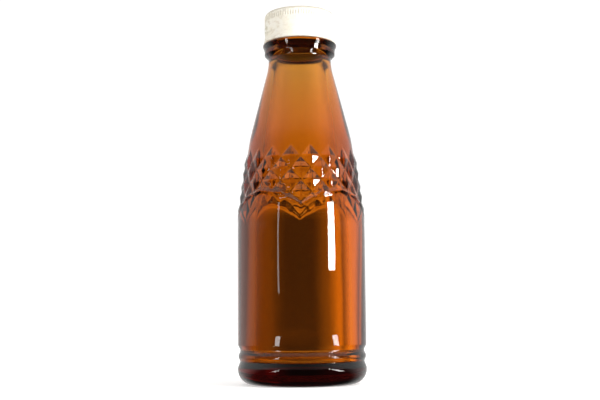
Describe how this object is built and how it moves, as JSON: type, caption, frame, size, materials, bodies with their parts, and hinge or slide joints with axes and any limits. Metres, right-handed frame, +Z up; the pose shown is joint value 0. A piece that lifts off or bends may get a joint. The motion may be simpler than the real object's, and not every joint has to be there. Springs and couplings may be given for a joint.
{
  "type": "screw-cap glass bottle",
  "caption": "Small amber glass bottle with a conical neck, a raised diamond band over arches, a ringed heel and a white metal screw cap.",
  "frame": {"origin": "centre of the foot ring, where the bottle stands on the table", "axes": "+Z up along the bottle's axis, -Y towards the front of the bottle"},
  "size_m": [0.0522, 0.0522, 0.1535],
  "materials": {
    "amber_glass": "glossy, transparent brown",
    "white_lacquered_metal": "cream white lacquer, scuffed and stained",
    "liner": "matt"
  },
  "bodies": {
    "bottle": {"bottle": "amber_glass"},
    "liner": {"cap_liner": "liner"},
    "cap": {"cap_shell": "white_lacquered_metal"}
  },
  "joints": [
    {"name": "cap_lift", "type": "slide", "parent": "bottle", "child": "liner", "axis": [0, 0, 1], "range_m": [0, 0.0117]},
    {"name": "cap_turn", "type": "hinge", "parent": "liner", "child": "cap", "pos_m": [0, 0, 0.1403], "axis": [0, 0, 1], "range_deg": [0, 990]}
  ],
  "couplings": [
    {"joint": "cap_lift", "follows": "cap_turn", "m_per_rad": 0.00067323}
  ]
}
